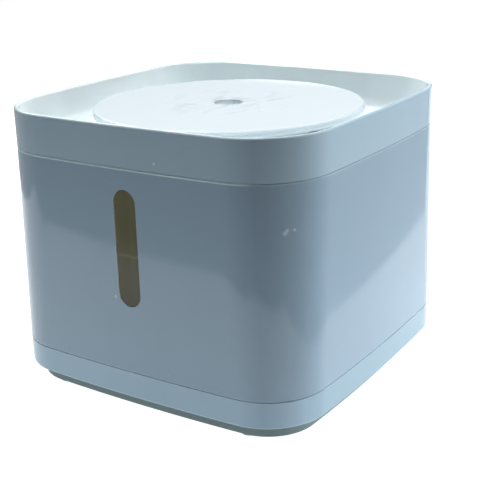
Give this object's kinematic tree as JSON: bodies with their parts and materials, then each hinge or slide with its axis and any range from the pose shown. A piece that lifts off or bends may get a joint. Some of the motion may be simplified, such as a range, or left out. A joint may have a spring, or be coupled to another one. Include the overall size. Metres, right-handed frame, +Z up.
{
  "type": "pet water fountain",
  "caption": "Square pet drinking fountain with a powered base, lift-off tank with a level window, cordless pump, filter cartridge and a round flow plate.",
  "frame": {"origin": "middle of the square footprint, on the surface that the rubber feet stand on", "axes": "+Z up, -Y out through the level window at the front, +X to the right of someone facing it"},
  "size_m": [0.188, 0.188, 0.1529],
  "materials": {
    "shell_plastic": "smooth glossy white plastic with a cool tint",
    "plinth_plastic": "fine-grained matte grey-green plastic",
    "smoked_lens": "smoked clear plastic, polished",
    "black_rubber": "soft matte rubber",
    "clear_silicone": "milky silicone",
    "pump_plastic": "dark grey satin plastic",
    "cartridge_plastic": "satin white plastic",
    "inlet_foam": "open-cell dark foam",
    "filter_cotton": "white felted cotton",
    "carbon": "packed black granules",
    "coil_copper": "enamelled copper wire winding",
    "dark_ferrite": "dull dark ferrite",
    "screw_steel": "zinc-plated steel",
    "polished_steel": "ground steel shaft",
    "board_green": "green coated circuit board",
    "component_black": "black component bodies"
  },
  "bodies": {
    "base": {"base_plate": "plinth_plastic", "rubber_feet": "black_rubber", "base_screws": "screw_steel", "base_housing": "shell_plastic", "transmit_coil": "coil_copper", "ferrite_plate": "dark_ferrite", "driver_board": "board_green", "board_components": "component_black", "board_screws": "screw_steel", "power_inlet": "screw_steel"},
    "tank": {"tank_shell": "shell_plastic", "window_gasket": "clear_silicone", "window_lens": "smoked_lens"},
    "pump": {"pump_housing": "pump_plastic", "pump_foot_cap": "pump_plastic", "receiver_coil": "coil_copper", "rear_bush": "clear_silicone", "front_bush": "clear_silicone", "pump_shaft": "polished_steel", "volute_cover": "pump_plastic", "inlet_cage": "pump_plastic", "foam_prefilter": "inlet_foam", "riser_tube": "clear_silicone"},
    "rotor": {"impeller": "cartridge_plastic", "rotor_magnet": "dark_ferrite"},
    "tray": {"drinking_tray": "shell_plastic", "filter_basket": "shell_plastic"},
    "filter": {"filter_cup": "cartridge_plastic", "filter_cover": "cartridge_plastic", "carbon_granules": "carbon", "cotton_pad": "filter_cotton"},
    "plate": {"flow_plate": "shell_plastic", "outlet_spout": "shell_plastic"}
  },
  "joints": [
    {"name": "tank_lift", "type": "slide", "parent": "base", "child": "tank", "axis": [0, 0, 1], "range_m": [0, 0.045]},
    {"name": "pump_lift", "type": "slide", "parent": "tank", "child": "pump", "axis": [0, 0, 1], "range_m": [0, 0.115]},
    {"name": "impeller_spin", "type": "hinge", "parent": "pump", "child": "rotor", "pos_m": [-0.0108, 0, 0.0595], "axis": [0, -1, 0], "continuous": true},
    {"name": "tray_lift", "type": "slide", "parent": "pump", "child": "tray", "axis": [0, 0, 1], "range_m": [0, 0.05]},
    {"name": "filter_lift", "type": "slide", "parent": "tray", "child": "filter", "axis": [0, 0, 1], "range_m": [0, 0.05]},
    {"name": "plate_lift", "type": "slide", "parent": "filter", "child": "plate", "axis": [0, 0, 1], "range_m": [0, 0.035]}
  ]
}
